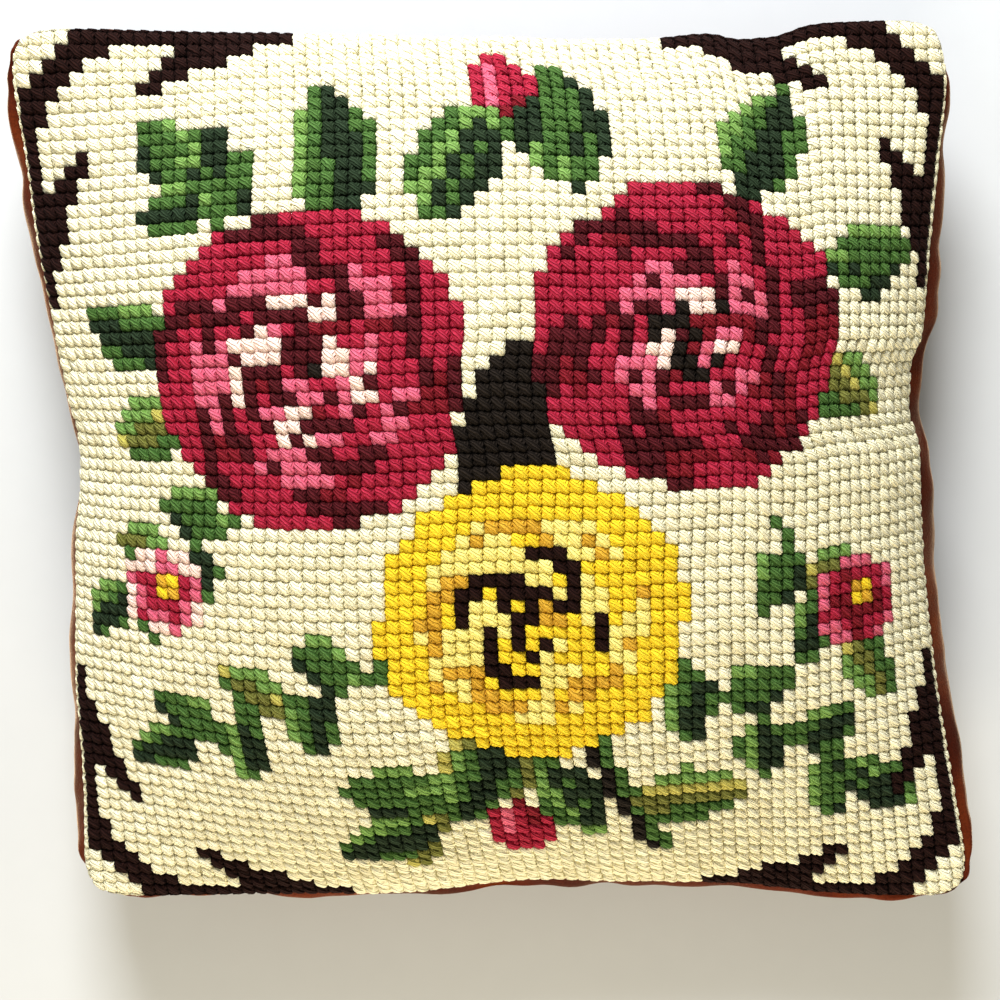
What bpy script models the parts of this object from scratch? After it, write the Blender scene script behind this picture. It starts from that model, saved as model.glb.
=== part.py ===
# Square needlepoint cushion, lying on its back with its stitched face up.
# Lengths are in metres. X runs to the face's right, Y to its top edge and Z up, out of the face. The origin
# is on the surface that the cushion rests on, in the middle of its flat patch.
# A place on the face is written (s, t): s from -1 at the left seam to 1 at the right one, and t from -1 at
# the bottom seam to 1 at the top one.

import math
from collections import namedtuple

import bmesh
import bpy
from mathutils import Vector

# Front crown over the seam, which runs round the cushion at one height
SEAM_HEIGHT = 0.058
CROWN_RISE = 0.062
CROWN_POWER = 2.6
CORNER_LIFT = 0.004

# A row of canvas that climbs the crown spans less of the cushion's width, most of it lost near the seam
SLOPE_LOSS = 0.088
SLOPE_POWER = 4.4

# The work isn't quite square: rows sag toward the left seam, and columns lean less in the middle
ROW_SAG = 0.04
COLUMN_EASE = 0.0065

# Where the seams would cross if the corners were sharp
Corner = namedtuple("Corner", "x y")
TOP_LEFT = Corner(-0.212, 0.188)
TOP_RIGHT = Corner(0.194, 0.190)
BOTTOM_LEFT = Corner(-0.189, -0.199)
BOTTOM_RIGHT = Corner(0.215, -0.199)
CORNER_SQUARENESS = 22

# Places along a side run from 0 to 1, from its left end or its top end. The bulge is how far the velvet
# stands out past the seam.
Side = namedtuple("Side", "draw_in deepest_at narrowness bulge")
SIDES = {
    "left": Side(0.0145, 0.50, 1.8, 0.0070),
    "right": Side(0.0185, 0.52, 1.1, 0.0075),
    "top": Side(0.0055, 0.50, 0.5, 0.0020),
    "bottom": Side(0.0012, 0.50, 0.5, 0.0060),
}

# Shorter stretches where the sewing pulls a side further in
Pinch = namedtuple("Pinch", "side place depth half_width")
PINCHES = [
    Pinch("right", 0.41, 0.0050, 0.050),
    Pinch("left", 0.50, 0.0020, 0.060),
    Pinch("top", 0.80, 0.0030, 0.040),
    Pinch("bottom", 0.60, 0.0068, 0.190),
]

# Soft hollows where the filling doesn't reach
Hollow = namedtuple("Hollow", "s t depth spread")
HOLLOWS = [
    Hollow(-0.66, 0.70, 0.0025, 0.24),
    Hollow(0.70, 0.62, 0.0020, 0.22),
    Hollow(0.60, -0.74, 0.0025, 0.26),
    Hollow(-0.74, -0.52, 0.0020, 0.22),
    Hollow(0.12, -0.78, 0.0015, 0.20),
]

# Stitched canvas, thinner where it turns into the seam
PANEL_THICKNESS = 0.0036
PANEL_RIM_THICKNESS = 0.0022
CLEARANCE = 0.0004

# Velvet edge: an oval turn that starts just under the seam and ends below, where the back begins. The
# corners hold less filling, so their turn is smaller.
EDGE_DROP = 0.016
EDGE_HALF_HEIGHT = 0.018
EDGE_REACH = 0.014
EDGE_START = math.radians(50)
EDGE_END = math.radians(-52)
CORNER_THINNING = 0.5

# Back crown, pressed flat where it meets the surface
BACK_DEPTH = 0.033
BACK_POWER = 3.8

# Grid over each face, closer together toward the seam, and layers round the velvet edge
FACE_STEPS = 28
STEP_CROWDING = 1.25
EDGE_LAYERS = 6

WOOL_CREAM = (0.84, 0.75, 0.52, 1)
VELVET_RUST = (0.16, 0.035, 0.012, 1)


def mix(first, second, share):
    return first + (second - first) * share


def drawn_in(name, place):
    # How far a side lies inside the straight line between its corners
    side = SIDES[name]
    place = min(max(place, 0), 1)
    turned = place ** (math.log(0.5) / math.log(side.deepest_at))
    depth = side.draw_in * math.sin(math.pi * turned) ** side.narrowness
    for pinch in PINCHES:
        if pinch.side == name:
            depth += pinch.depth * math.exp(-(((place - pinch.place) / pinch.half_width) ** 4))
    return depth


def crown(place):
    return 1 - abs(place) ** CROWN_POWER


def seen_from_above(along, across):
    # Where a thread that is `along` its row comes in plan, on the row that crosses the face at `across`
    loss = SLOPE_LOSS * max(crown(across), 0) ** 2
    return (along - loss * math.copysign(abs(along) ** SLOPE_POWER, along)) / (1 - loss)


def sagged(s, t):
    return t - ROW_SAG * (max(1 - s, 0) / 2) ** 1.5 * (1 - t * t)


def face_point(s, t):
    # Mean surface of the stitches
    t = sagged(s, t)
    down = (1 - t) / 2
    right = (1 + s) / 2
    left_x = mix(TOP_LEFT.x, BOTTOM_LEFT.x, down) + drawn_in("left", down)
    right_x = mix(TOP_RIGHT.x, BOTTOM_RIGHT.x, down) - drawn_in("right", down)
    bottom_y = mix(BOTTOM_LEFT.y, BOTTOM_RIGHT.y, right) + drawn_in("bottom", right)
    top_y = mix(TOP_LEFT.y, TOP_RIGHT.y, right) - drawn_in("top", right)
    x = mix(left_x, right_x, (1 + seen_from_above(s, t)) / 2)
    y = mix(bottom_y, top_y, (1 + seen_from_above(t, s)) / 2)
    x += COLUMN_EASE * (1 - s * s) * (t - t**3)
    z = SEAM_HEIGHT + CROWN_RISE * crown(s) * crown(t) + CORNER_LIFT * (s * t) ** 4
    for hollow in HOLLOWS:
        distance = math.hypot(s - hollow.s, t - hollow.t)
        z -= hollow.depth * math.exp(-((distance / hollow.spread) ** 2))
    return Vector((x, y, z))


def face_normal(s, t):
    step = 0.01
    rightward = face_point(s + step, t) - face_point(s - step, t)
    upward = face_point(s, t + step) - face_point(s, t - step)
    return rightward.cross(upward).normalized()


def crowded(place):
    return math.sin(STEP_CROWDING * place) / math.sin(STEP_CROWDING)


def rounded(s, t):
    # Pulls the corners of the square in to a round turn
    s = crowded(s)
    t = crowded(t)
    longest = max(abs(s), abs(t))
    if longest == 0:
        return s, t
    power = CORNER_SQUARENESS
    turn = (abs(s / longest) ** power + abs(t / longest) ** power) ** (1 / power)
    return s / turn, t / turn


def below_face(s, t, depth_inside, depth_at_rim):
    rim = max(abs(s), abs(t)) ** 8
    return face_point(s, t) - face_normal(s, t) * mix(depth_inside, depth_at_rim, rim)


def panel_point(s, t, layer):
    s, t = rounded(s, t)
    if layer > 0:
        return face_point(s, t)
    return below_face(s, t, PANEL_THICKNESS, PANEL_RIM_THICKNESS)


def edge_offset(s, t, angle):
    # From the seam to the velvet edge: sideways by its bulge, and round its oval turn
    power = CORNER_SQUARENESS - 1
    out = Vector((math.copysign(abs(s) ** power, s), math.copysign(abs(t) ** power, t), 0)).normalized()
    bulge_x = SIDES["right" if out.x > 0 else "left"].bulge
    bulge_y = SIDES["top" if out.y > 0 else "bottom"].bulge
    offset = Vector((out.x * bulge_x, out.y * bulge_y, -EDGE_DROP))
    offset += out * EDGE_REACH * (math.cos(angle) - 1)
    offset.z += EDGE_HALF_HEIGHT * math.sin(angle)
    return offset * (1 - CORNER_THINNING * abs(s * t) ** 3)


def back_point(s, t):
    inward = max(abs(s), abs(t)) ** 4
    offset = edge_offset(s, t, EDGE_END)
    s, t = rounded(s, t)
    point = face_point(s, t)
    point.z = SEAM_HEIGHT + CORNER_LIFT * (s * t) ** 4 + offset.z
    point.z -= BACK_DEPTH * (1 - abs(s) ** BACK_POWER) * (1 - abs(t) ** BACK_POWER)
    point.z = max(point.z, 0)
    point.x += offset.x * inward
    point.y += offset.y * inward
    return point


def velvet_point(s, t, layer):
    if layer >= 1:
        s, t = rounded(s, t)
        return below_face(s, t, PANEL_THICKNESS + CLEARANCE, PANEL_RIM_THICKNESS + CLEARANCE)
    if layer <= -1:
        return back_point(s, t)
    first = 1 - 2 / EDGE_LAYERS
    angle = mix(EDGE_START, EDGE_END, (first - layer) / (first + 1))
    return face_point(*rounded(s, t)) + edge_offset(s, t, angle)


def cushion_block(name, layers, place_point, material):
    # A square block, cut into a grid on both faces and into layers round its edge, then put in shape
    bm = bmesh.new()
    bmesh.ops.create_cube(bm, size=2)
    level = [edge for edge in bm.edges if abs(edge.verts[0].co.z - edge.verts[1].co.z) < 1]
    bmesh.ops.subdivide_edges(bm, edges=level, cuts=FACE_STEPS - 1, use_grid_fill=True)
    upright = [edge for edge in bm.edges if abs(edge.verts[0].co.z - edge.verts[1].co.z) > 1]
    if layers > 1:
        bmesh.ops.subdivide_edges(bm, edges=upright, cuts=layers - 1, use_grid_fill=True)
    for vert in bm.verts:
        vert.co = place_point(*vert.co)
    bmesh.ops.triangulate(bm, faces=bm.faces, quad_method="SHORT_EDGE")
    mesh = bpy.data.meshes.new(name)
    bm.to_mesh(mesh)
    bm.free()
    mesh.materials.append(material)
    mesh.shade_smooth()
    block = bpy.data.objects.new(name, mesh)
    bpy.context.scene.collection.objects.link(block)
    return block


def cloth_material(name, colour, roughness):
    material = bpy.data.materials.new(name)
    material.use_nodes = True
    shader = material.node_tree.nodes["Principled BSDF"]
    shader.inputs["Base Color"].default_value = colour
    shader.inputs["Roughness"].default_value = roughness
    shader.inputs["Metallic"].default_value = 0
    return material


def clear_scene():
    for obj in list(bpy.data.objects):
        bpy.data.objects.remove(obj, do_unlink=True)


clear_scene()
cushion_block("needlepoint_panel", 1, panel_point, cloth_material("cream wool", WOOL_CREAM, 0.9))
cushion_block("velvet_back", EDGE_LAYERS, velvet_point, cloth_material("rust velvet", VELVET_RUST, 0.7))
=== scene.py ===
import math

import bmesh
import bpy
import numpy as np
from mathutils import Euler, Matrix, Vector, noise


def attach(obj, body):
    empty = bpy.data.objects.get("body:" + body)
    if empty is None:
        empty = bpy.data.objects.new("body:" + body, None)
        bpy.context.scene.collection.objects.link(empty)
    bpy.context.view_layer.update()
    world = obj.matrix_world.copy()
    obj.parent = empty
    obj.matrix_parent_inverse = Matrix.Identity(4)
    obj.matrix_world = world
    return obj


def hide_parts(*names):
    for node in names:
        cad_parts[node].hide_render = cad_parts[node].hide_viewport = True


# Square needlepoint cushion lying face up: wool cross stitch on canvas in front, velvet behind.
# Metres. A place on the face is (s, t): s from -1 at the left seam to 1 at the right one, and t from -1 at
# the bottom seam to 1 at the top one.

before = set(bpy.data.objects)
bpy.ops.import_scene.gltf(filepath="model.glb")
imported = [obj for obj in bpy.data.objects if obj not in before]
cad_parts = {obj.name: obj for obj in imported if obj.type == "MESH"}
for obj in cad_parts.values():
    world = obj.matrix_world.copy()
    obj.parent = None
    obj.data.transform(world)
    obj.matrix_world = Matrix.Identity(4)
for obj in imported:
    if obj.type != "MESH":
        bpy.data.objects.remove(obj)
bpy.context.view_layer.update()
print("frame loaded")


# form of the cushion, as the solids have it

cushionForm = {
    "seamHeight": 0.058, "crownRise": 0.062, "crownPower": 2.6, "cornerLift": 0.004,
    "slopeLoss": 0.088, "slopePower": 4.4, "rowSag": 0.04, "columnEase": 0.0065,
    "topLeft": (-0.212, 0.188), "topRight": (0.194, 0.190),
    "bottomLeft": (-0.189, -0.199), "bottomRight": (0.215, -0.199), "cornerSquareness": 22,
    # draw-in, deepest place, narrowness
    "sides": {
        "left": (0.0145, 0.50, 1.8), "right": (0.0185, 0.52, 1.1),
        "top": (0.0055, 0.50, 0.5), "bottom": (0.0012, 0.50, 0.5),
    },
    # side, place along it, depth, half width
    "pinches": [
        ("right", 0.41, 0.0050, 0.050), ("left", 0.50, 0.0020, 0.060),
        ("top", 0.80, 0.0030, 0.040), ("bottom", 0.60, 0.0068, 0.190),
        # stretches where the sewn seam runs a little off the solid's smoother line
        ("left", 0.30, -0.0026, 0.120), ("left", 0.66, -0.0042, 0.170), ("right", 0.0, 0.0024, 0.060),
        ("left", 0.87, 0.0015, 0.110), ("top", 0.22, -0.0015, 0.240), ("top", 0.64, 0.0016, 0.080),
        ("top", 0.93, -0.0030, 0.110), ("bottom", 0.64, -0.0012, 0.100),
    ],
    # s, t, depth, spread
    "hollows": [
        (-0.66, 0.70, 0.0025, 0.24), (0.70, 0.62, 0.0020, 0.22), (0.60, -0.74, 0.0025, 0.26),
        (-0.74, -0.52, 0.0020, 0.22), (0.12, -0.78, 0.0015, 0.20),
    ],
    "halfWidth": 0.2,  # half of the canvas's flat width
    "rimSlope": 0.94, "rimRoll": 0.0032, "rimTurn": 1.85,  # how the canvas turns down into the seam
}
form = cushionForm


def mix(first, second, share):
    return first + (second - first) * share


def drawnIn(side, place):
    depth, deepestAt, narrowness = form["sides"][side]
    place = np.clip(place, 0, 1)
    turned = place ** (math.log(0.5) / math.log(deepestAt))
    total = depth * np.clip(np.sin(math.pi * turned), 0, 1) ** narrowness
    for name, middle, pinchDepth, halfWidth in form["pinches"]:
        if name == side:
            total = total + pinchDepth * np.exp(-(((place - middle) / halfWidth) ** 4))
    return total


def crown(place):
    return 1 - np.abs(place) ** form["crownPower"]


def seenFromAbove(along, across):
    loss = form["slopeLoss"] * np.clip(crown(across), 0, None) ** 2
    return (along - loss * np.sign(along) * np.abs(along) ** form["slopePower"]) / (1 - loss)


def facePoint(s, t):
    t = t - form["rowSag"] * (np.clip(1 - s, 0, None) / 2) ** 1.5 * (1 - t * t)
    down, right = (1 - t) / 2, (1 + s) / 2
    leftX = mix(form["topLeft"][0], form["bottomLeft"][0], down) + drawnIn("left", down)
    rightX = mix(form["topRight"][0], form["bottomRight"][0], down) - drawnIn("right", down)
    bottomY = mix(form["bottomLeft"][1], form["bottomRight"][1], right) + drawnIn("bottom", right)
    topY = mix(form["topLeft"][1], form["topRight"][1], right) - drawnIn("top", right)
    x = mix(leftX, rightX, (1 + seenFromAbove(s, t)) / 2) + form["columnEase"] * (1 - s * s) * (t - t**3)
    y = mix(bottomY, topY, (1 + seenFromAbove(t, s)) / 2)
    z = form["seamHeight"] + form["crownRise"] * crown(s) * crown(t) + form["cornerLift"] * (s * t) ** 4
    for hollowS, hollowT, depth, spread in form["hollows"]:
        z = z - depth * np.exp(-((s - hollowS) ** 2 + (t - hollowT) ** 2) / spread**2)
    return np.stack([x, y, z], axis=-1)


def sideOf(s, t):
    # How far out a place is, 1 at the seam with its rounded corners, and the way out from it in plan
    power = form["cornerSquareness"]
    out = (np.abs(s) ** power + np.abs(t) ** power) ** (1 / power)
    away = np.stack([np.sign(s) * np.abs(s) ** (power - 1), np.sign(t) * np.abs(t) ** (power - 1)], axis=-1)
    away = away / np.maximum(np.linalg.norm(away, axis=-1, keepdims=True), 1e-12)
    return out, away


def clothPoint(s, t):
    # On the face up to the seam, and past it round the turn into the seam
    out, away = sideOf(s, t)
    past = np.clip(out - 1, 0, None)
    inside = facePoint(s / (1 + past), t / (1 + past))
    roll, slope = form["rimRoll"], form["rimSlope"]
    travel = past * form["halfWidth"]
    angle = np.minimum(slope + travel / roll, form["rimTurn"])
    straight = travel - (angle - slope) * roll
    outward = roll * (np.sin(angle) - math.sin(slope)) + straight * np.cos(angle)
    fall = roll * (math.cos(slope) - np.cos(angle)) + straight * np.sin(angle)
    inside[..., :2] += away * outward[..., None]
    inside[..., 2] -= fall
    return inside


def clothNormal(s, t):
    step = 0.006
    rightward = clothPoint(s + step, t) - clothPoint(s - step, t)
    upward = clothPoint(s, t + step) - clothPoint(s, t - step)
    normal = np.cross(rightward, upward)
    return normal / np.maximum(np.linalg.norm(normal, axis=-1, keepdims=True), 1e-12)


seamTake = {
    "grid": 0.006, "sides": 0.0200, "ends": 0.0235, "cornerStart": 0.78, "narrowness": 10, "wobble": 0.0030,
    "waves": [(1, 6.1, 1.7), (0.6, 13.7, 2.9)],  # height, closeness, shift
}


def laidOut(s, t):
    # The stitch grid runs a little past the seam, which swallows more along the sides than at the corners
    take = seamTake

    def taken(across, along, deepest):
        corner = np.clip((np.abs(along) - take["cornerStart"]) / (1 - take["cornerStart"]), 0, 1)
        wobble = 0
        for height, closeness, shift in take["waves"]:
            wobble = wobble + height * np.sin(closeness * along + shift * np.sign(across))
        depth = deepest * (1 - corner**2) + take["wobble"] * wobble
        return take["grid"] + depth * np.abs(across) ** take["narrowness"]

    return s * (1 + taken(s, t, take["sides"])), t * (1 + taken(t, s, take["ends"]))


def addObject(name, mesh):
    piece = bpy.data.objects.new(name, mesh)
    bpy.context.scene.collection.objects.link(piece)
    return piece


def meshPoints(mesh, reading="co"):
    points = np.empty(len(mesh.vertices) * 3)
    mesh.vertices.foreach_get(reading, points)
    return points.reshape(-1, 3)


# the charted design, a generic bouquet with a scroll in each corner

stitchPlan = {
    "across": 72, "up": 74,
    "wools": {  # sRGB
        "cream": (247, 241, 207), "bark": (34, 11, 6), "peat": (32, 25, 19), "maroon": (80, 12, 22),
        "ruby": (122, 12, 30), "crimson": (166, 30, 60), "rose": (216, 104, 128), "blush": (252, 222, 208),
        "lemon": (250, 214, 50), "gold": (212, 166, 50), "butter": (252, 234, 136), "leaf": (120, 156, 82),
        "fern": (74, 108, 50), "pine": (38, 54, 34), "olive": (190, 182, 96), "moss": (116, 118, 56),
    },
    # depth in from the edge, then the runs of stitches along it
    "scrollArm": {
        1: [(5, 21)], 2: [(4, 7), (13, 18)], 3: [(3, 5), (12, 16)], 4: [(2, 4), (11, 13)], 5: [(10, 11)],
    },
}
chart = [["cream"] * stitchPlan["across"] for row in range(stitchPlan["up"])]  # row 0 at the bottom


def setStitch(column, row, wool):
    if 0 <= column < stitchPlan["across"] and 0 <= row < stitchPlan["up"]:
        chart[row][column] = wool


def turnedCells(x, y, heading, reach):
    cosine, sine = math.cos(math.radians(heading)), math.sin(math.radians(heading))
    for row in range(int(y - reach), int(y + reach) + 2):
        for column in range(int(x - reach), int(x + reach) + 2):
            dx, dy = column - x, row - y
            yield column, row, dx * cosine + dy * sine, dy * cosine - dx * sine


def pick(shades, share):
    return shades[min(max(int(share * len(shades)), 0), len(shades) - 1)]


def fold(x, y, heading, out, radius, shades, stretch, line):
    # One petal, lightest at its outer rim and darkest where it goes under the next one
    look = bouquet["petal"]
    middleX = x + out * math.cos(math.radians(heading))
    middleY = y + out * math.sin(math.radians(heading))
    for column, row, along, side in turnedCells(middleX, middleY, heading, radius * stretch + 1):
        side /= stretch
        distance = math.hypot(along, side) / radius
        if distance > 1:
            continue
        lit = look["lit"] * math.cos(math.radians(heading - look["litFrom"]))
        shade = look["middle"] - look["outward"] * along / radius - lit
        wool = pick(shades, shade + look["sideways"] * abs(side) / radius)
        onLine = distance > 1 - look["lineWidth"] / radius
        if line and onLine and side < look["lineSide"] * radius and along < look["lineReach"] * radius:
            wool = line
        setStitch(column, row, wool)


def rose(x, y, rings, heart):
    for count, start, out, radius, stretch, shades, line in rings:
        for turn in range(count):
            fold(x, y, start + 360 * turn / count, out, radius, shades, stretch, line)
    for dx, dy, wool in heart:
        setStitch(x + dx, y + dy, wool)


def leaf(x, y, heading, length, width, kind):
    look = bouquet["leafShape"]
    light, dark, vein = bouquet["leafKinds"][kind]
    lit = 1 if math.cos(math.radians(heading - look["litFrom"])) > 0 else -1
    veinStart, veinEnd = look["vein"]
    for column, row, along, side in turnedCells(x, y, heading, length + 2):
        share = along / length
        if not 0 <= share <= 1:
            continue
        swell = math.sin(math.pi * share ** look["widestAt"]) ** look["fullness"]
        if abs(side) > width * swell + look["stem"] * (1 - share):
            continue
        if abs(side) < 0.5 and veinStart < share < veinEnd:
            wool = vein
        else:
            shade = look["sideways"] * abs(side) / width + look["outward"] * share
            wool = pick(light if side * lit > 0 else dark, shade)
        setStitch(column, row, wool)


def stalk(points, wool):
    for (x, y), (nextX, nextY) in zip(points, points[1:]):
        steps = max(int(2 * math.hypot(nextX - x, nextY - y)), 1)
        for step in range(steps + 1):
            setStitch(round(mix(x, nextX, step / steps)), round(mix(y, nextY, step / steps)), wool)


def sprig(x, y, heading, length, leaves, kinds, size, width):
    # A thin stalk with leaves to both sides and one at its tip
    endX = x + length * math.cos(math.radians(heading))
    endY = y + length * math.sin(math.radians(heading))
    stalk([(x, y), (endX, endY)], "fern")
    for number in range(leaves):
        share = (number + 1) / (leaves + 0.6)
        turn = heading + bouquet["sprigTurn"] * (1 if number % 2 else -1)
        leaf(mix(x, endX, share), mix(y, endY, share), turn, size, width, kinds[number % len(kinds)])
    leaf(endX, endY, heading, size + 1, width, kinds[leaves % len(kinds)])


def blossom(x, y, start, shades):
    rose(x, y, [(5, start, 2.1, 1.9, 1.05, shades, None)],
         [(0, 0, "lemon"), (1, 0, "gold"), (0, 1, "gold"), (1, 1, "lemon")])


def cornerScrolls():
    lastColumn, lastRow = stitchPlan["across"] - 1, stitchPlan["up"] - 1
    for depth, runs in stitchPlan["scrollArm"].items():
        for first, last in runs:
            for along in range(first, last + 1):
                spots = [(depth, along), (along, depth)] + ([(along, 0)] if depth == 1 else [])
                for column, row in spots:
                    for c in (column, lastColumn - column):
                        for r in (row, lastRow - row):
                            chart[r][c] = "bark"


bouquet = {
    # a petal's shade: how it starts, darkens inward and to its sides, and where its light comes from
    "petal": {
        "middle": 0.40, "outward": 0.55, "sideways": 0.30, "lit": 0.12, "litFrom": 125,
        "lineWidth": 1.05, "lineSide": 0.25, "lineReach": 0.80,
    },
    "leafShape": {
        "widestAt": 0.85, "fullness": 0.8, "stem": 0.35, "vein": (0.05, 0.85),
        "sideways": 0.85, "outward": 0.35, "litFrom": 35,
    },
    "sprigTurn": 58,
    "leavesOnTop": 4,  # the last ones of the list lie over the flowers
    "leafKinds": {  # light half, dark half, vein
        "green": (["leaf", "fern", "leaf"], ["pine", "fern", "pine"], "fern"),
        "deep": (["fern", "fern", "leaf"], ["pine", "pine", "fern"], "pine"),
        "olive": (["olive", "leaf"], ["moss", "fern"], "moss"),
        "bright": (["leaf", "leaf", "fern"], ["fern", "pine"], "pine"),
        "bud": (["rose", "crimson"], ["ruby", "crimson"], "crimson"),
    },
    "stalks": [
        ([(37, 36), (33, 20), (27, 5)], "olive"), ([(38, 36), (34, 20), (28, 5)], "moss"),
        ([(40, 34), (41, 18), (46, 6)], "peat"), ([(41, 34), (42, 18), (47, 6)], "fern"),
        ([(38, 34), (37, 16), (36, 9)], "moss"),
    ],
    "leaves": [  # x, y, heading, length, width, kind
        (25, 57, 97, 11, 3.2, "deep"), (31, 57, 60, 11, 3.0, "bright"), (42, 59, 100, 11, 3.0, "green"),
        (54, 59, 66, 10, 3.0, "deep"), (61, 53, 15, 8, 2.8, "green"), (60, 46, -35, 8, 2.6, "olive"),
        (12, 48, 160, 8, 2.6, "deep"), (12, 43, 200, 7, 2.3, "olive"), (31, 12, 172, 9, 2.5, "green"),
        (29, 9, -160, 8, 2.3, "deep"), (45, 11, 4, 9, 2.6, "olive"), (35, 17, -115, 9, 2.5, "deep"),
        (38, 15, -60, 9, 2.4, "bright"), (36, 11, -92, 6, 2.4, "bud"), (38, 62, 84, 5, 2.4, "deep"),
        (37, 65, 97, 6, 2.2, "bud"),
    ],
    "sprigs": [  # x, y, heading, length, leaves, kinds, leaf length, leaf width
        (17, 56, 128, 6, 3, ["green", "deep", "bright"], 5.5, 2.0),
        (17, 36, 216, 12, 4, ["green", "deep", "olive"], 5.5, 1.9),
        (28, 24, 204, 18, 5, ["green", "deep", "olive", "bright"], 5.5, 1.9),
        (56, 34, -58, 12, 4, ["green", "olive", "deep"], 5.5, 1.9),
        (47, 24, -37, 19, 5, ["deep", "green", "bright"], 5.5, 1.9),
    ],
    # petals in a ring, first heading, distance out, radius, stretch, shades, line between petals
    "roses": [
        (22, 46, [
            (6, 12, 6.6, 5.4, 1.30, ["crimson", "crimson", "ruby", "maroon"], "maroon"),
            (5, 40, 3.9, 4.6, 1.25, ["rose", "crimson", "crimson", "ruby"], "maroon"),
            (4, 75, 2.3, 3.5, 1.20, ["blush", "rose", "crimson", "ruby"], "maroon"),
            (3, 10, 1.0, 2.2, 1.10, ["blush", "rose", "crimson"], "maroon"),
        ], [(0, 0, "maroon"), (1, 0, "peat")]),
        (50, 48, [
            (6, 40, 6.4, 5.4, 1.30, ["crimson", "ruby", "maroon", "maroon"], "maroon"),
            (5, 0, 4.0, 4.6, 1.25, ["crimson", "crimson", "ruby", "maroon"], "maroon"),
            (4, 30, 2.4, 3.6, 1.20, ["rose", "crimson", "ruby"], "maroon"),
            (3, 80, 1.1, 2.3, 1.10, ["blush", "rose", "ruby"], "peat"),
        ], [(0, 0, "peat"), (-1, 0, "maroon")]),
        (38, 27, [
            (6, 25, 6.2, 5.2, 1.30, ["lemon", "lemon", "lemon", "lemon", "gold"], None),
            (5, 60, 3.8, 4.4, 1.25, ["butter", "lemon", "lemon", "lemon"], "gold"),
            (4, 15, 2.3, 3.4, 1.20, ["butter", "lemon", "lemon"], "bark"),
            (3, 55, 1.0, 2.2, 1.10, ["butter", "lemon", "gold"], "bark"),
        ], [(0, 0, "bark"), (1, 0, "gold")]),
    ],
    "blossoms": [(63, 27, 20, ["rose", "crimson", "ruby"]), (10, 29, 50, ["blush", "rose", "crimson"])],
    "shadow": (36, 40, 70, 8, 3.2),  # x, y, heading, half length, half width
}


def stitchBouquet():
    onTop = bouquet["leavesOnTop"]
    for points, wool in bouquet["stalks"]:
        stalk(points, wool)
    for place in bouquet["sprigs"]:
        sprig(*place)
    for place in bouquet["leaves"][:-onTop]:
        leaf(*place)
    x, y, heading, halfLength, halfWidth = bouquet["shadow"]
    for column, row, along, side in turnedCells(x, y, heading, halfLength):
        if (along / halfLength) ** 2 + (side / halfWidth) ** 2 <= 1:
            setStitch(column, row, "peat")
    for place in bouquet["roses"]:
        rose(*place)
    for place in bouquet["blossoms"]:
        blossom(*place)
    for place in bouquet["leaves"][-onTop:]:
        leaf(*place)


stitchBouquet()
cornerScrolls()
print("design charted")


# cross stitches

stitchLook = {
    "canvasDepth": 0.0018,  # the canvas lies this far under the mean surface
    # half width, half length, slant, arch and how far its neighbours let it spread, for each leg
    "under": (0.00310, 0.0047, -45, 0.0018, 0.00345), "over": (0.00246, 0.0050, 44, 0.0025, 0.00355),
    "acrossSteps": 4, "alongSteps": 5, "crowding": 5, "columnGap": 0.965,
    "endWidth": 0.46, "endSquareness": (3.4, 0.42), "ridgePower": 2.6, "edgeLift": 0.30, "tipLift": 0.25,
    "archDrop": 0.62, "archPower": 3.2, "dive": 0.0005, "divePower": 6,
    # toward the seam its height is pressed down: the share, where it starts and over what stretch
    "seamPress": 0.6, "pressStart": 0.988, "pressWidth": 0.02,
    "turnSpread": 0.05, "sizeSpread": 0.04, "heightSpread": 0.09, "shiftSpread": 0.02, "toneSpread": 0.2,
    "lastShown": 1.0155,  # stitches further past the seam are left out
    "creamParts": 3, "seed": 11,
}


def bendLeg(bm, verts, leg):
    # A flat strip becomes a plump yarn that comes up through one hole, arches over and goes down the next
    look = stitchLook
    halfWidth, halfLength, slant, rise, spread = leg
    squareness, roundness = look["endSquareness"]
    for vert in verts:
        across, along = vert.co.x * 2, vert.co.y * 2
        swell = (1 - abs(along) ** squareness) ** roundness
        ridge = math.sqrt(max(1 - abs(across) ** look["ridgePower"], 0))
        lift = rise * (1 - look["archDrop"] * abs(along) ** look["archPower"])
        width = halfWidth * mix(look["endWidth"], 1, swell)
        height = lift * mix(look["edgeLift"], 1, ridge) * mix(look["tipLift"], 1, swell)
        sunk = look["dive"] * (1 - ridge + abs(along) ** look["divePower"])
        vert.co = Vector((across * width, along * halfLength, height - sunk))
    bmesh.ops.rotate(bm, verts=verts, cent=(0, 0, 0), matrix=Euler((0, 0, math.radians(slant))).to_matrix())
    for vert in verts:  # its neighbours press it square
        for axis in (0, 1):
            reach = abs(vert.co[axis]) / spread
            vert.co[axis] /= (1 + reach ** look["crowding"]) ** (1 / look["crowding"])


def makeStitch():
    bm = bmesh.new()
    bm.loops.layers.uv.new("yarn")  # the grids below fill it in
    look = stitchLook
    for leg in (look["under"], look["over"]):
        made = bmesh.ops.create_grid(
            bm, x_segments=look["acrossSteps"], y_segments=look["alongSteps"], size=0.5, calc_uvs=True)
        strip = made["verts"]
        bendLeg(bm, strip, leg)
        rim = [edge for vert in strip for edge in vert.link_edges if edge.is_boundary]
        bmesh.ops.contextual_create(bm, geom=list(set(rim)))
        bmesh.ops.recalc_face_normals(bm, faces=list({face for vert in strip for face in vert.link_faces}))
    bmesh.ops.scale(bm, vec=(look["columnGap"], 1, 1), verts=bm.verts)
    mesh = bpy.data.meshes.new("one stitch")
    bm.to_mesh(mesh)
    bm.free()
    return mesh


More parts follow.
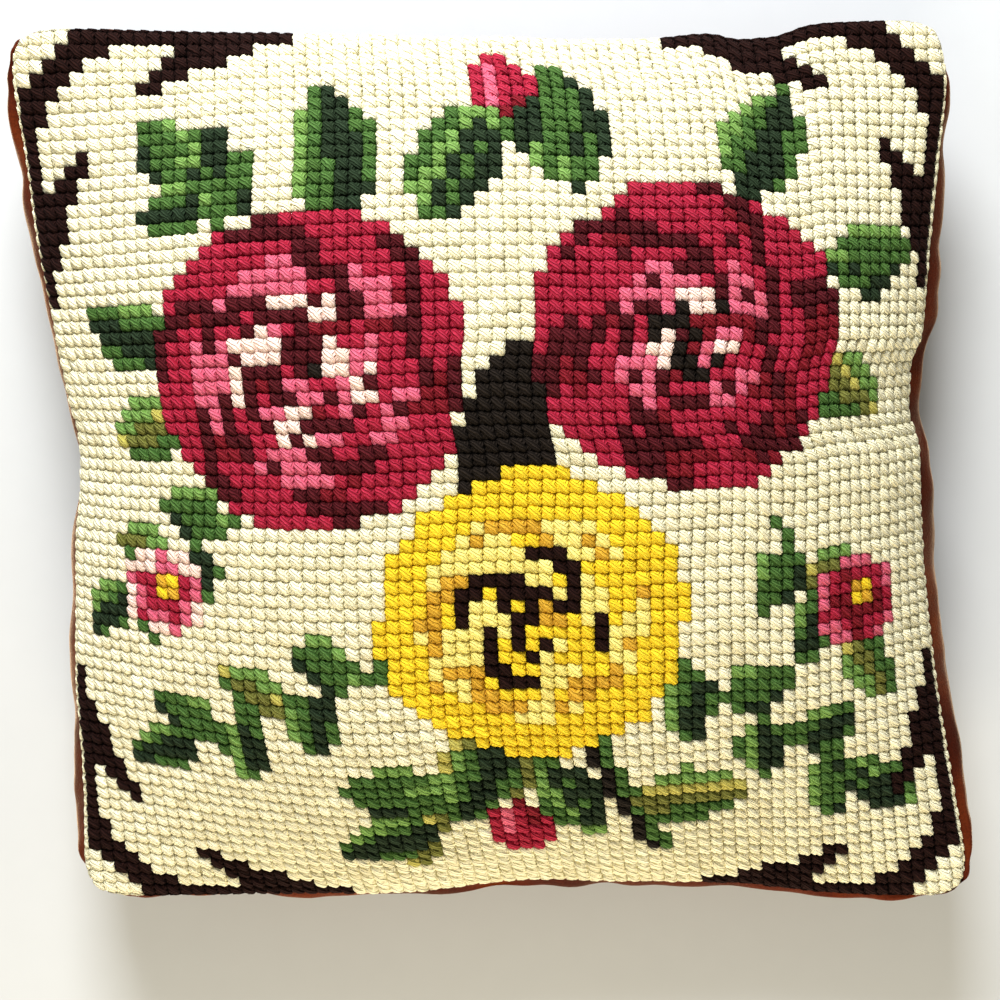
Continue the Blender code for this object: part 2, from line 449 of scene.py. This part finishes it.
def joinStitches(name, cells, template, rng):
    # Copies of the one stitch, each a little uneven, laid out flat and then carried onto the crown in one go
    look, across, up = stitchLook, stitchPlan["across"], stitchPlan["up"]
    flat = meshPoints(template)
    count, points, loops, faces = len(cells), len(flat), len(template.loops), len(template.polygons)
    corner = np.empty(loops, dtype=np.int32)
    template.loops.foreach_get("vertex_index", corner)
    sizes = np.empty(faces, dtype=np.int32)
    template.polygons.foreach_get("loop_total", sizes)
    yarn = np.empty(loops * 2)
    template.uv_layers["yarn"].data.foreach_get("uv", yarn)

    cells = np.array(cells, dtype=float)
    turn = rng.normal(0, look["turnSpread"], count)[:, None]
    grow = 1 + rng.normal(0, look["sizeSpread"], count)[:, None]
    tall = 1 + rng.normal(0, look["heightSpread"], count)[:, None]
    shift = rng.normal(0, look["shiftSpread"], (count, 2))
    x = (flat[:, 0] * np.cos(turn) - flat[:, 1] * np.sin(turn)) * grow
    y = (flat[:, 0] * np.sin(turn) + flat[:, 1] * np.cos(turn)) * grow
    pitch = 2 * form["halfWidth"] / across
    s = (cells[:, :1] + 0.5 + shift[:, :1] + x / pitch) / across * 2 - 1
    t = (cells[:, 1:] + 0.5 + shift[:, 1:] + y / pitch) / up * 2 - 1
    s, t = laidOut(s, t)
    nearSeam = np.clip((sideOf(s, t)[0] - look["pressStart"]) / look["pressWidth"], 0, 1)
    height = flat[:, 2] * tall * (1 - look["seamPress"] * nearSeam) - look["canvasDepth"]
    places = clothPoint(s, t) + clothNormal(s, t) * height[..., None]

    mesh = bpy.data.meshes.new(name)
    mesh.vertices.add(count * points)
    mesh.vertices.foreach_set("co", places.reshape(-1))
    corners = corner[None, :] + points * np.arange(count)[:, None]
    mesh.loops.add(count * loops)
    mesh.loops.foreach_set("vertex_index", corners.reshape(-1).astype(np.int32))
    mesh.polygons.add(count * faces)
    starts = np.concatenate([[0], np.cumsum(np.tile(sizes, count))[:-1]]).astype(np.int32)
    mesh.polygons.foreach_set("loop_start", starts)
    mesh.polygons.foreach_set("use_smooth", np.ones(count * faces, dtype=bool))
    mesh.update(calc_edges=True)
    layer = mesh.uv_layers.new(name="yarn")
    layer.data.foreach_set("uv", np.tile(yarn, count))
    tone = mesh.attributes.new("tone", "FLOAT", "POINT")
    tones = np.clip(rng.normal(0.5, look["toneSpread"], count), 0, 1)
    tone.data.foreach_set("value", np.repeat(tones, points))
    mesh.validate()
    return addObject(name, mesh)


def linear(rgb):
    shares = [value / 255 for value in rgb]
    return [share / 12.92 if share <= 0.04045 else ((share + 0.055) / 1.055) ** 2.4 for share in shares]


# wool

woolLook = {
    "strands": 4.0, "strandLean": 0.42, "strandDepth": 0.00055,
    "wanderScale": 260.0, "wander": 0.34, "toneShift": 0.8,  # how far the strands stray, and differ by stitch
    "fibreScale": 30, "fibreStretch": 5.0, "fibreChange": 40.0, "fibreShade": 0.24, "fibreDepth": 0.00014,
    "edgePower": 2.2, "endPower": 4.0, "creviceShade": 1.0, "grooveShade": 0.50, "shadePower": 0.6,
    # painted shade and painted highlight: the yarn's colour is taken to this power and share in its grooves
    # as painted shade, and lightened this much on top as a painted highlight
    "grooveShadePower": 1.1, "grooveShadeShares": (0.80, 0.95),
    "darkGain": 0.4, "paintedHighlight": 0.045, "highlightPower": 0.6, "lightest": 0.97,
    # a stitch's level of green and blue, and how much its tone adds to it
    "toneRange": 0.16, "greenLevel": (0.975, 0.04), "blueLevel": (0.92, 0.14),
    "roughLow": 0.76, "roughHigh": 0.98, "specular": 0.07,
    "sheen": 0.16, "sheenRoughness": 0.5, "sheenGain": 1.2, "sheenLeast": 0.004,
}


def addNode(tree, kind, values=None, **settings):
    node = tree.nodes.new(kind)
    for key, value in settings.items():
        setattr(node, key, value)
    for key, value in (values or {}).items():
        node.inputs[key].default_value = value
    return node


def link(tree, start, end):
    tree.links.new(start, end)


def mathNode(tree, operation, first, second=None, third=None, clamp=False):
    node = addNode(tree, "ShaderNodeMath", operation=operation, use_clamp=clamp)
    for number, value in enumerate((first, second, third)):
        if value is None:
            continue
        if isinstance(value, (int, float)):
            node.inputs[number].default_value = value
        else:
            link(tree, value, node.inputs[number])
    return node.outputs[0]


def ramp(tree, value, stops):
    node = addNode(tree, "ShaderNodeValToRGB")
    while len(node.color_ramp.elements) < len(stops):
        node.color_ramp.elements.new(0.5)
    for element, (place, colour) in zip(node.color_ramp.elements, stops):
        element.position = place
        element.color = (*colour, 1)
    link(tree, value, node.inputs[0])
    return node.outputs[0]


def mixColour(tree, share, first, second, blend="MIX"):
    node = addNode(tree, "ShaderNodeMix", data_type="RGBA", blend_type=blend)
    for socket, value in ((node.inputs[0], share), (node.inputs[6], first), (node.inputs[7], second)):
        if isinstance(value, (int, float)):
            socket.default_value = value
        elif isinstance(value, (tuple, list)):
            socket.default_value = (*value[:3], 1)
        else:
            link(tree, value, socket)
    return node.outputs[2]


def newMaterial(name):
    material = bpy.data.materials.new(name)
    material.use_nodes = True
    return material, material.node_tree, material.node_tree.nodes["Principled BSDF"]


def paintedWoolLightAndShade(base):
    # Lit and shaded copies of the yarn's colour: a painted highlight on top and painted shade down in its
    # grooves; dark and strong wools have more room to lighten on top
    look = woolLook
    room = (1 - base.mean()) ** 2
    gain = look["darkGain"] * room
    shade = base ** (look["grooveShadePower"] + gain) * mix(*look["grooveShadeShares"], base.mean())
    # painted highlight added on top, strongest on strong and dark wools
    paintedTopHighlight = look["paintedHighlight"] * base.max() ** look["highlightPower"] * room
    light = np.minimum(base * (1 + gain) + paintedTopHighlight, look["lightest"])
    return tuple(light), tuple(shade)


def fromMiddle(tree, share, power):
    # 0 in the middle of the yarn, 1 at its edge or end
    away = mathNode(tree, "ABSOLUTE", mathNode(tree, "SUBTRACT", share, 0.5))
    return mathNode(tree, "POWER", mathNode(tree, "MULTIPLY", away, 2.0), power)


def woolMaterial(name, rgb):
    look = woolLook
    base = np.array(linear(rgb))
    material, tree, shader = newMaterial(name)
    yarn = addNode(tree, "ShaderNodeUVMap", uv_map="yarn")
    parts = addNode(tree, "ShaderNodeSeparateXYZ")
    link(tree, yarn.outputs[0], parts.inputs[0])
    across, along = parts.outputs[0], parts.outputs[1]
    tone = addNode(tree, "ShaderNodeAttribute", attribute_name="tone").outputs["Fac"]
    here = addNode(tree, "ShaderNodeTexCoord").outputs["Object"]

    # strands lie side by side along the yarn and wander a little
    wander = addNode(tree, "ShaderNodeTexNoise", {"Scale": look["wanderScale"], "Detail": 2.0})
    link(tree, here, wander.inputs["Vector"])
    lean = mathNode(tree, "MULTIPLY_ADD", along, look["strandLean"], across)
    lean = mathNode(tree, "MULTIPLY_ADD", wander.outputs["Fac"], look["wander"], lean)
    lean = mathNode(tree, "MULTIPLY_ADD", tone, look["toneShift"], lean)
    wave = mathNode(tree, "SINE", mathNode(tree, "MULTIPLY", lean, 2 * math.pi * look["strands"]))
    strand = mathNode(tree, "MULTIPLY_ADD", wave, 0.5, 0.5)

    # fine fibres, drawn out along the yarn
    stretch = addNode(tree, "ShaderNodeCombineXYZ")
    link(tree, mathNode(tree, "MULTIPLY", lean, look["fibreScale"]), stretch.inputs[0])
    link(tree, mathNode(tree, "MULTIPLY", along, look["fibreStretch"]), stretch.inputs[1])
    link(tree, mathNode(tree, "MULTIPLY", tone, look["fibreChange"]), stretch.inputs[2])
    fibre = addNode(tree, "ShaderNodeTexNoise", {"Scale": 1.0, "Detail": 3.0, "Roughness": 0.6})
    link(tree, stretch.outputs[0], fibre.inputs["Vector"])

    # painted shade: darker and richer where the yarn turns under its neighbours, at its ends and in the
    # grooves between strands
    edge = fromMiddle(tree, across, look["edgePower"])
    end = fromMiddle(tree, along, look["endPower"])
    deep = mathNode(tree, "MAXIMUM", edge, end)
    groove = mathNode(tree, "MULTIPLY", mathNode(tree, "SUBTRACT", 1.0, strand), look["grooveShade"])
    deep = mathNode(tree, "ADD", mathNode(tree, "MULTIPLY", deep, look["creviceShade"]), groove, clamp=True)
    # light is the painted highlight colour, shade the painted shade colour, mixed by the mask above
    light, shade = paintedWoolLightAndShade(base)
    colour = mixColour(tree, mathNode(tree, "POWER", deep, look["shadePower"]), light, shade)
    level = mathNode(tree, "MULTIPLY_ADD", tone, look["toneRange"], 1 - look["toneRange"] / 2)
    fibreTone = mathNode(tree, "SUBTRACT", fibre.outputs["Fac"], 0.5)
    level = mathNode(tree, "MULTIPLY_ADD", fibreTone, look["fibreShade"], level)
    grey = addNode(tree, "ShaderNodeCombineColor")
    link(tree, level, grey.inputs[0])
    for socket, (low, gain) in ((grey.inputs[1], look["greenLevel"]), (grey.inputs[2], look["blueLevel"])):
        link(tree, mathNode(tree, "MULTIPLY", level, mathNode(tree, "MULTIPLY_ADD", tone, gain, low)), socket)
    colour = mixColour(tree, 1.0, colour, grey.outputs[0], blend="MULTIPLY")
    link(tree, colour, shader.inputs["Base Color"])

    low, high = look["roughLow"], look["roughHigh"]
    rough = mathNode(tree, "MULTIPLY_ADD", fibre.outputs["Fac"], high - low, low)
    link(tree, rough, shader.inputs["Roughness"])
    coarse = addNode(tree, "ShaderNodeBump", {"Strength": 1.0, "Distance": look["strandDepth"]})
    link(tree, strand, coarse.inputs["Height"])
    fine = addNode(tree, "ShaderNodeBump", {"Strength": 1.0, "Distance": look["fibreDepth"]})
    link(tree, fibre.outputs["Fac"], fine.inputs["Height"])
    link(tree, coarse.outputs[0], fine.inputs["Normal"])
    link(tree, fine.outputs[0], shader.inputs["Normal"])
    shader.inputs["Sheen Weight"].default_value = look["sheen"]
    shader.inputs["Sheen Roughness"].default_value = look["sheenRoughness"]
    tint = np.clip(base * look["sheenGain"] + look["sheenLeast"], 0, 1)
    shader.inputs["Sheen Tint"].default_value = (*tint, 1)
    shader.inputs["Specular IOR Level"].default_value = look["specular"]
    return material


def swallowed(column, row):
    s = (column + 0.5) / stitchPlan["across"] * 2 - 1
    t = (row + 0.5) / stitchPlan["up"] * 2 - 1
    s, t = laidOut(np.array([s]), np.array([t]))
    return sideOf(s, t)[0][0] > stitchLook["lastShown"]


def makeStitches():
    template = makeStitch()
    rng = np.random.default_rng(stitchLook["seed"])
    stitched = []
    across, up = stitchPlan["across"], stitchPlan["up"]
    for wool, rgb in stitchPlan["wools"].items():
        cells = [(c, r) for r in range(up) for c in range(across) if chart[r][c] == wool]
        cells = [cell for cell in cells if not swallowed(*cell)]
        if not cells:
            continue
        material = woolMaterial(wool + " wool", rgb)
        parts = stitchLook["creamParts"] if wool == "cream" else 1
        share = math.ceil(len(cells) / parts)
        for number in range(parts):
            name = wool + "Stitches" + (str(number + 1) if parts > 1 else "")
            piece = joinStitches(name, cells[number * share:(number + 1) * share], template, rng)
            piece.data.materials.append(material)
            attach(piece, "root")
            stitched.append(piece)
    print("stitches:", sum(len(chart[0]) for row in chart), "in", len(stitched), "pieces,",
          sum(len(p.data.loops) - 2 * len(p.data.polygons) for p in stitched), "triangles")
    return stitched


stitchPieces = makeStitches()


# canvas that the stitches are worked on

canvasLook = {
    "cellSteps": 2, "thickness": 0.0009, "lastOut": 1.024,
    # painted shade: between the stitches the canvas takes the stitch's own wool colour, darkened by this
    # share and power, mixed with bare canvas
    "bareCanvas": (226, 214, 164), "shadeOfStitch": 0.62, "shadePower": 1.2,
    "canvasShare": {"cream": 0.70},  # how much bare canvas shows between the stitches of a wool
    "weaveScale": 900.0, "weaveShade": 0.4, "weaveTint": (0.05, 0.03, 0.02),
    "threadScale": 57.0, "threadWaver": 0.3, "threadDepth": 0.0004, "threadBump": 0.8,
    "roughness": (0.82, 0.15), "specular": 0.06,
}


def makeCanvas():
    look, across, up = canvasLook, stitchPlan["across"], stitchPlan["up"]
    bm = bmesh.new()
    steps = look["cellSteps"]
    bmesh.ops.create_grid(bm, x_segments=across * steps, y_segments=up * steps, size=1)
    ground = bm.loops.layers.float_color.new("ground")
    bare = np.array(linear(look["bareCanvas"]))
    shades = {}
    # painted shade: each wool's colour darkened as shade in the crevices, mixed with the bare canvas colour
    # by canvasShare
    for wool, rgb in stitchPlan["wools"].items():
        shaded = np.array(linear(rgb)) ** look["shadePower"] * look["shadeOfStitch"]
        shades[wool] = (*mix(shaded, bare, look["canvasShare"].get(wool, 0.0)), 1)
    for face in bm.faces:
        middle = face.calc_center_median()
        # its rim takes the next stitch's painted shade
        column = min(max(int((middle.x + 1) / 2 * across), 1), across - 2)
        row = min(max(int((middle.y + 1) / 2 * up), 1), up - 2)
        for loop in face.loops:
            loop[ground] = shades[chart[row][column]]
    bmesh.ops.solidify(bm, geom=bm.faces[:], thickness=look["thickness"])  # while it is flat
    flat = np.array([vert.co for vert in bm.verts])
    s, t = laidOut(flat[:, 0], flat[:, 1])
    inside = np.minimum(1, look["lastOut"] / sideOf(s, t)[0])
    s, t = s * inside, t * inside
    depth = stitchLook["canvasDepth"] + np.abs(flat[:, 2])
    places = clothPoint(s, t) - clothNormal(s, t) * depth[:, None]
    for vert, place in zip(bm.verts, places):
        vert.co = place
    bmesh.ops.recalc_face_normals(bm, faces=bm.faces)
    mesh = bpy.data.meshes.new("canvasGround")
    bm.to_mesh(mesh)
    bm.free()
    mesh.shade_smooth()
    return addObject("canvasGround", mesh)


def canvasMaterial():
    look = canvasLook
    material, tree, shader = newMaterial("stitched canvas")
    ground = addNode(tree, "ShaderNodeAttribute", attribute_name="ground").outputs["Color"]
    here = addNode(tree, "ShaderNodeTexCoord").outputs["Object"]
    weave = addNode(tree, "ShaderNodeTexNoise", {"Scale": look["weaveScale"], "Detail": 2.0})
    link(tree, here, weave.inputs["Vector"])
    bands = []
    settings = {"Scale": look["threadScale"], "Distortion": look["threadWaver"]}
    for direction in ("X", "Y"):
        wave = addNode(tree, "ShaderNodeTexWave", settings, bands_direction=direction)
        link(tree, here, wave.inputs["Vector"])
        bands.append(wave.outputs["Fac"])
    thread = mathNode(tree, "MULTIPLY", bands[0], bands[1])
    shaded = mathNode(tree, "MULTIPLY", weave.outputs["Fac"], look["weaveShade"])
    colour = mixColour(tree, shaded, ground, look["weaveTint"], blend="MULTIPLY")
    link(tree, colour, shader.inputs["Base Color"])
    low, gain = look["roughness"]
    link(tree, mathNode(tree, "MULTIPLY_ADD", weave.outputs["Fac"], gain, low), shader.inputs["Roughness"])
    bump = addNode(tree, "ShaderNodeBump", {"Strength": look["threadBump"], "Distance": look["threadDepth"]})
    link(tree, thread, bump.inputs["Height"])
    link(tree, bump.outputs[0], shader.inputs["Normal"])
    shader.inputs["Specular IOR Level"].default_value = look["specular"]
    return material


canvasGround = makeCanvas()
canvasGround.data.materials.append(canvasMaterial())
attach(canvasGround, "root")
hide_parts("needlepoint_panel")
print("canvas laid")


# velvet back, filled

velvetLook = {
    "steps": 66, "crowding": 1.05, "layers": 14, "underCanvas": 0.0046, "underCanvasAtRim": 0.0044,
    "edgeDrop": 0.016, "edgeHalfHeight": 0.018, "edgeReach": 0.014,
    "edgeStart": math.radians(42), "edgeEnd": math.radians(-52), "cornerThinning": 0.5,
    "backDepth": 0.033, "backPower": 3.8,
    "pressure": 4.0, "slackCloth": 0.035, "clothQuality": 6, "frames": 20,
    "mostMoved": 0.012, "edgeHold": 0.10, "holdFrom": 0.62,
    # how far the velvet stands out past the seam, by place along each side: it lies back behind the corners
    "stand": {
        "left": [(0, 0.0030), (0.06, 0.0078), (0.14, 0.0092), (0.22, 0.0082), (0.34, 0.0058), (0.46, 0.0058),
                 (0.58, 0.0068), (0.72, 0.0080), (0.84, 0.0108), (0.92, 0.0098), (0.97, 0.0050), (1, 0.0015)],
        "right": [(0, 0.0010), (0.08, 0.0048), (0.16, 0.0074), (0.24, 0.0100), (0.40, 0.0096), (0.52, 0.0094),
                  (0.64, 0.0104), (0.76, 0.0098), (0.88, 0.0100), (0.94, 0.0078), (1, 0.0030)],
        "top": [(0, 0.0010), (0.10, 0.0006), (0.50, 0.0012), (0.90, 0.0012), (1, 0.0010)],
        "bottom": [(0, 0.0028), (0.10, 0.0064), (0.40, 0.0076), (0.60, 0.0088), (0.80, 0.0072),
                   (0.92, 0.0046), (1, 0.0022)],
    },
    # depth, how far they reach from the seam, how close together
    "puckers": [(0.0040, 0.060, 22), (0.0034, 0.030, 48), (0.0022, 0.016, 105)],
    # where they begin, how much they change outward, and how sharply they rise between their hollows
    "puckerStart": 0.006, "puckerDrift": 0.12, "puckerRise": 1.5, "puckerSink": 0.66,
    "pile": (80, 27, 9), "pileLit": (102, 42, 14), "pileDark": (56, 15, 5), "pileStops": (0.30, 0.50, 0.72),
    "nap": {"Scale": 34.0, "Detail": 4.0, "Roughness": 0.50, "Distortion": 0.3},
    "napDepth": 0.0012, "napBump": 0.5,
    "fuzz": {"Scale": 1100.0, "Detail": 3.0, "Roughness": 0.75}, "fuzzDepth": 0.0004, "fuzzBump": 0.7,
    "speck": (0.12, 1.7), "roughness": (0.72, 0.2), "specular": 0.05,
    "sheen": 1.0, "sheenRoughness": 0.27, "sheenTint": (0.62, 0.44, 0.28),
}


def roundedGrid(s, t):
    crowding = velvetLook["crowding"]
    s, t = np.sin(crowding * s) / math.sin(crowding), np.sin(crowding * t) / math.sin(crowding)
    power = form["cornerSquareness"]
    longest = np.maximum(np.maximum(np.abs(s), np.abs(t)), 1e-9)
    turn = (np.abs(s / longest) ** power + np.abs(t / longest) ** power) ** (1 / power)
    return s / turn, t / turn


def edgeOffset(s, t, angle):
    look = velvetLook
    away = sideOf(s, t)[1]
    places = {"left": (1 - t) / 2, "right": (1 - t) / 2, "top": (1 + s) / 2, "bottom": (1 + s) / 2}
    stand = {side: np.interp(places[side], *zip(*steps)) for side, steps in look["stand"].items()}
    bulgeX = np.where(away[:, 0] > 0, stand["right"], stand["left"])
    bulgeY = np.where(away[:, 1] > 0, stand["top"], stand["bottom"])
    reach = look["edgeReach"] * (np.cos(angle) - 1)
    offset = np.stack([
        away[:, 0] * (bulgeX + reach), away[:, 1] * (bulgeY + reach),
        look["edgeHalfHeight"] * np.sin(angle) - look["edgeDrop"],
    ], axis=-1)
    return offset * (1 - look["cornerThinning"] * np.abs(s * t) ** 3)[:, None]


def velvetPoints(s, t, layer):
    look = velvetLook
    roundS, roundT = roundedGrid(s, t)
    seam = facePoint(roundS, roundT)
    rim = np.maximum(np.abs(roundS), np.abs(roundT)) ** 8
    under = mix(look["underCanvas"], look["underCanvasAtRim"], rim)
    top = seam - clothNormal(roundS, roundT) * under[:, None]

    first = 1 - 2 / look["layers"]
    angle = mix(look["edgeStart"], look["edgeEnd"], np.clip((first - layer) / (first + 1), 0, 1))
    side = seam + edgeOffset(s, t, angle)

    back = seam.copy()
    lowest = edgeOffset(s, t, np.full_like(s, look["edgeEnd"]))
    inward = np.maximum(np.abs(s), np.abs(t)) ** 4
    power = look["backPower"]
    back[:, 2] = form["seamHeight"] + form["cornerLift"] * (roundS * roundT) ** 4 + lowest[:, 2]
    back[:, 2] -= look["backDepth"] * (1 - np.abs(roundS) ** power) * (1 - np.abs(roundT) ** power)
    back[:, 2] = np.maximum(back[:, 2], 0)
    back[:, :2] += lowest[:, :2] * inward[:, None]
    isTop, isBack = (layer > 0.999)[:, None], (layer < -0.999)[:, None]
    return np.where(isTop, top, np.where(isBack, back, side))


def makeVelvet():
    look = velvetLook
    bm = bmesh.new()
    bmesh.ops.create_cube(bm, size=2)
    level = [edge for edge in bm.edges if abs(edge.verts[0].co.z - edge.verts[1].co.z) < 1]
    bmesh.ops.subdivide_edges(bm, edges=level, cuts=look["steps"] - 1, use_grid_fill=True)
    upright = [edge for edge in bm.edges if abs(edge.verts[0].co.z - edge.verts[1].co.z) > 1]
    bmesh.ops.subdivide_edges(bm, edges=upright, cuts=look["layers"] - 1, use_grid_fill=True)
    places = np.array([vert.co for vert in bm.verts])
    shaped = velvetPoints(*places.T)
    for vert, place in zip(bm.verts, shaped):
        vert.co = place
    bmesh.ops.recalc_face_normals(bm, faces=bm.faces)
    mesh = bpy.data.meshes.new("velvetBack")
    bm.to_mesh(mesh)
    bm.free()
    mesh.shade_smooth()
    return addObject("velvetBack", mesh), places


def applyModifiers(piece):
    depsgraph = bpy.context.evaluated_depsgraph_get()
    finished = bpy.data.meshes.new_from_object(piece.evaluated_get(depsgraph))
    piece.modifiers.clear()
    old = piece.data
    piece.data = finished
    bpy.data.meshes.remove(old)


def fillVelvet(piece, places):
    # Pressure from inside swells the cloth; the part under the canvas is sewn fast
    look = velvetLook
    start = meshPoints(piece.data).copy()
    sewn = piece.vertex_groups.new(name="sewn")
    sewn.add([int(number) for number in np.nonzero(places[:, 2] > 0.999)[0]], 1.0, "REPLACE")
    filling = piece.modifiers.new("filling", "CLOTH")
    cloth = filling.settings
    cloth.quality = look["clothQuality"]
    cloth.use_pressure = True
    cloth.uniform_pressure_force = look["pressure"]
    cloth.shrink_min = -look["slackCloth"]
    cloth.vertex_group_mass = "sewn"
    cloth.effector_weights.gravity = 0
    filling.collision_settings.use_collision = False
    for number in range(1, look["frames"] + 1):
        bpy.context.scene.frame_set(number)
    applyModifiers(piece)
    moved = meshPoints(piece.data) - start
    length = np.linalg.norm(moved, axis=1, keepdims=True)
    moved *= np.minimum(1, look["mostMoved"] / np.maximum(length, 1e-9))
    print("velvet filled, moved at most", round(float(length.max()) * 1000, 1), "mm before the cap")
    # its edge doesn't spread past the seam, and the back is let go little by little from there
    rim = np.clip((np.abs(places[:, :2]).max(axis=1) - look["holdFrom"]) / (1 - look["holdFrom"]), 0, 1)
    held = np.where(places[:, 2] > -0.999, 1, rim * rim * (3 - 2 * rim))
    moved[:, :2] *= mix(1, look["edgeHold"], held)[:, None]
    finished = start + moved
    finished[:, 2] = np.maximum(finished[:, 2], 0)
    piece.data.vertices.foreach_set("co", finished.reshape(-1))
    piece.vertex_groups.clear()


def seamLine(s, t):
    return facePoint(np.array([s]), np.array([t]))[0]


def gatherSeam(piece, places):
    # Small puckers run away from the seam, where the velvet is eased onto the canvas
    look = velvetLook
    mesh = piece.data
    points = meshPoints(mesh)
    normals = meshPoints(mesh, "normal")
    for number in np.nonzero(places[:, 2] < 0.999)[0]:
        s, t = places[number, 0], places[number, 1]
        longest = max(abs(s), abs(t))
        edgeX, edgeY = seamLine(s / longest, t / longest)[:2] if longest > 0 else (0, 0)
        away = math.dist(points[number], (edgeX, edgeY, form["seamHeight"]))
        push = 0
        for depth, reach, closeness in look["puckers"]:
            fade = math.exp(-away / reach) * min(away / look["puckerStart"], 1)
            if fade > 0.02:
                drift = away * closeness * look["puckerDrift"]
                spot = Vector((edgeX * closeness, edgeY * closeness, drift + closeness))
                rise = look["puckerRise"] * math.sqrt(abs(noise.noise(spot)))
                push += depth * fade * (rise - look["puckerSink"])
        points[number] += normals[number] * push
    points[:, 2] = np.maximum(points[:, 2], 0)
    mesh.vertices.foreach_set("co", points.reshape(-1))
    mesh.update()


def velvetMaterial():
    look = velvetLook
    pile, lit, dark = (linear(look[key]) for key in ("pile", "pileLit", "pileDark"))
    material, tree, shader = newMaterial("rust velvet")
    here = addNode(tree, "ShaderNodeTexCoord").outputs["Object"]
    nap = addNode(tree, "ShaderNodeTexNoise", look["nap"])
    link(tree, here, nap.inputs["Vector"])
    fuzz = addNode(tree, "ShaderNodeTexNoise", look["fuzz"])
    link(tree, here, fuzz.inputs["Vector"])
    colour = ramp(tree, nap.outputs["Fac"], list(zip(look["pileStops"], (dark, pile, lit))))
    low, gain = look["speck"]
    speck = mathNode(tree, "MULTIPLY_ADD", fuzz.outputs["Fac"], gain, low)
    grey = addNode(tree, "ShaderNodeCombineColor")
    for socket in grey.inputs[:3]:
        link(tree, speck, socket)
    colour = mixColour(tree, 1.0, colour, grey.outputs[0], blend="MULTIPLY")
    link(tree, colour, shader.inputs["Base Color"])
    low, gain = look["roughness"]
    link(tree, mathNode(tree, "MULTIPLY_ADD", nap.outputs["Fac"], gain, low), shader.inputs["Roughness"])
    bump = addNode(tree, "ShaderNodeBump", {"Strength": look["fuzzBump"], "Distance": look["fuzzDepth"]})
    link(tree, fuzz.outputs["Fac"], bump.inputs["Height"])
    soft = addNode(tree, "ShaderNodeBump", {"Strength": look["napBump"], "Distance": look["napDepth"]})
    link(tree, nap.outputs["Fac"], soft.inputs["Height"])
    link(tree, soft.outputs[0], bump.inputs["Normal"])
    link(tree, bump.outputs[0], shader.inputs["Normal"])
    shader.inputs["Sheen Weight"].default_value = look["sheen"]
    shader.inputs["Sheen Roughness"].default_value = look["sheenRoughness"]
    shader.inputs["Sheen Tint"].default_value = (*look["sheenTint"], 1)
    shader.inputs["Specular IOR Level"].default_value = look["specular"]
    return material


velvetBack, velvetPlaces = makeVelvet()
fillVelvet(velvetBack, velvetPlaces)
gatherSeam(velvetBack, velvetPlaces)
finer = velvetBack.modifiers.new("finer", "SUBSURF")
finer.levels = finer.render_levels = 1
applyModifiers(velvetBack)
velvetBack.data.materials.clear()
velvetBack.data.materials.append(velvetMaterial())
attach(velvetBack, "root")
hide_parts("velvet_back")
print("velvet made")


# floor, light and camera

studio = {
    "floor": (0.57, 0.592, 0.612), "floorDarker": 0.985, "floorGrain": 60.0, "floorRoughness": 0.7,
    "floorHalf": 2.5, "floorDrop": 0.0003,  # its half width, and how far it lies under the cushion
    "world": (1.0, 0.97, 0.90), "worldStrength": 0.275,
    # name, place, aimed at, width, watts, colour
    "lamps": [
        ("window", (-0.18, 1.14, 0.76), (-0.01, 0.04, 0.05), 0.6, 38.5, (0.99, 0.995, 1.0)),
        ("fill", (-0.06, -1.30, 0.48), (0, -0.04, 0.05), 0.9, 27, (1.0, 0.88, 0.65)),
    ],
    "cameraAt": (0, 0.0792, 0.8421), "cameraTilt": -7, "lens": 64.3,
}


def makeStudio():
    bm = bmesh.new()
    bmesh.ops.create_grid(bm, x_segments=4, y_segments=4, size=studio["floorHalf"])
    mesh = bpy.data.meshes.new("floor")
    bm.to_mesh(mesh)
    bm.free()
    mesh.transform(Matrix.Translation((0, 0, -studio["floorDrop"])))
    floor = addObject("floor", mesh)
    material, tree, shader = newMaterial("pale floor")
    here = addNode(tree, "ShaderNodeTexCoord").outputs["Object"]
    grain = addNode(tree, "ShaderNodeTexNoise", {"Scale": studio["floorGrain"], "Detail": 4.0})
    link(tree, here, grain.inputs["Vector"])
    pale = studio["floor"]
    darker = [studio["floorDarker"] * value for value in pale]
    link(tree, ramp(tree, grain.outputs["Fac"], [(0.3, darker), (0.7, pale)]), shader.inputs["Base Color"])
    shader.inputs["Roughness"].default_value = studio["floorRoughness"]
    mesh.materials.append(material)

    world = bpy.data.worlds.new("studio")
    world.use_nodes = True
    sky = world.node_tree.nodes["Background"]
    sky.inputs["Color"].default_value = (*studio["world"], 1)
    sky.inputs["Strength"].default_value = studio["worldStrength"]
    bpy.context.scene.world = world
    for name, place, aim, width, watts, tint in studio["lamps"]:
        lamp = bpy.data.lights.new(name, "AREA")
        lamp.size, lamp.energy, lamp.color = width, watts, tint
        stand = addObject(name, lamp)
        stand.location = place
        stand.rotation_euler = (Vector(aim) - Vector(place)).to_track_quat("-Z", "Y").to_euler()

    lens = bpy.data.cameras.new("camera")
    lens.lens, lens.sensor_width = studio["lens"], 36
    lens.clip_start = 0.01
    viewer = addObject("camera", lens)
    viewer.location = studio["cameraAt"]
    viewer.rotation_euler = (math.radians(studio["cameraTilt"]), 0, 0)
    bpy.context.scene.camera = viewer
    bpy.context.scene.view_settings.view_transform = "Standard"


makeStudio()
print("studio set")
